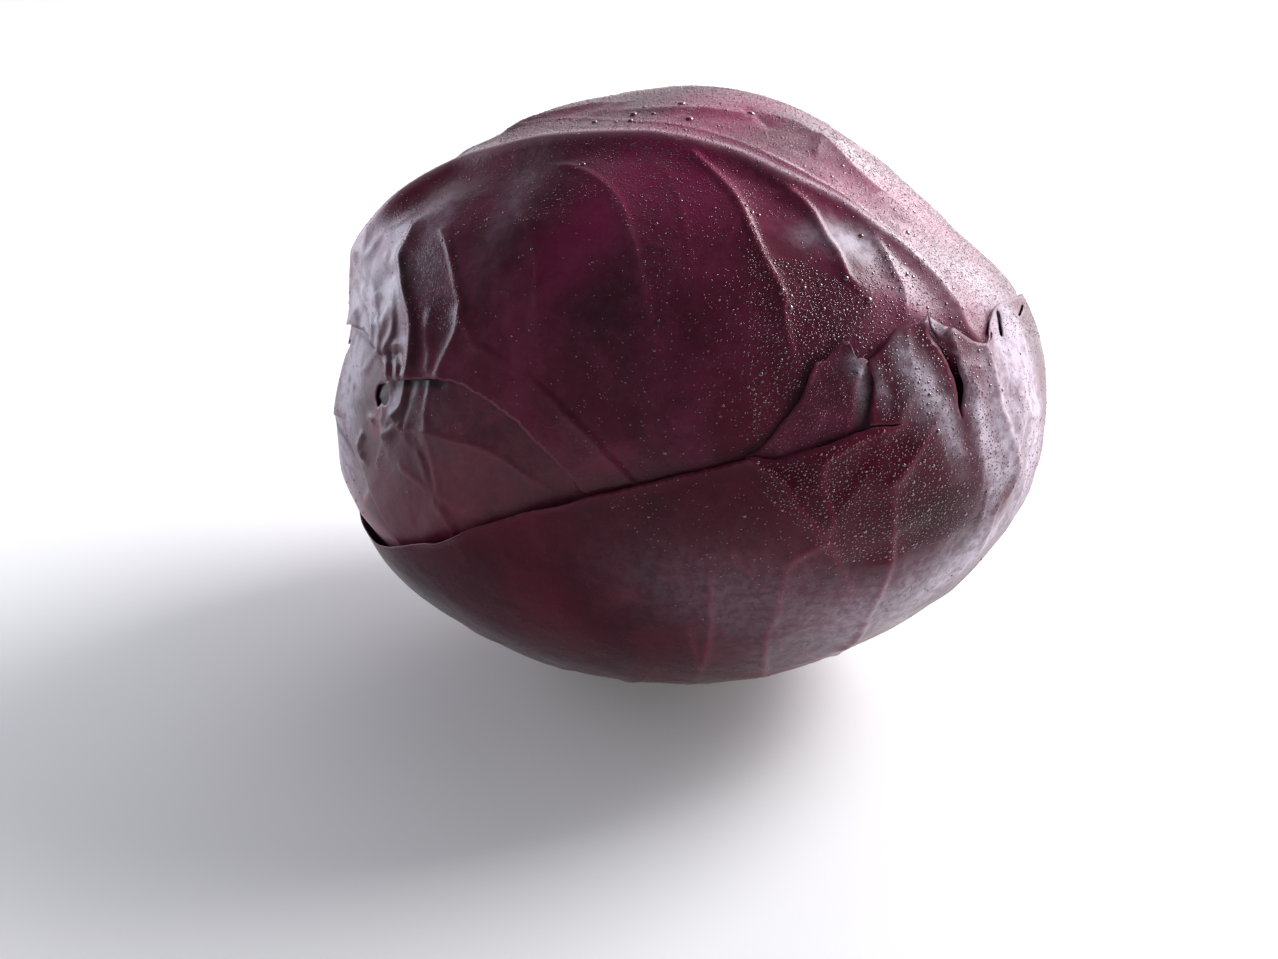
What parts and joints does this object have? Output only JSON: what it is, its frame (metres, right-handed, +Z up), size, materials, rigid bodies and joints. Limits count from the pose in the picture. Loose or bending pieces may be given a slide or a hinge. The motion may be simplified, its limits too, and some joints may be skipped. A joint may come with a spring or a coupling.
{
  "type": "red cabbage",
  "caption": "Whole red cabbage head lying on its side, with overlapping waxy wrapper leaves, a torn front leaf and a trimmed stump.",
  "frame": {"origin": "centre of the bounding box's lowest face, on the surface that the head rests on", "axes": "+X along the stem axis from the cut stump to the closed tip of the head, -Y the front with the torn leaf, +Z up"},
  "size_m": [0.1766, 0.1478, 0.146],
  "materials": {
    "leaf_maroon": "satin",
    "leaf_deep": "satin",
    "leaf_bloom": "matte",
    "leaf_pale": "matte",
    "leaf_violet": "satin",
    "stem_cream": "matte"
  },
  "bodies": {
    "root": {"head": "leaf_violet", "stem_stump": "stem_cream", "leaf_back_upper": "leaf_deep", "leaf_back_lower": "leaf_maroon", "leaf_lower_left": "leaf_pale", "leaf_front_left": "leaf_bloom", "leaf_top": "leaf_maroon", "leaf_front_torn": "leaf_deep", "leaf_front": "leaf_deep"}
  },
  "joints": []
}
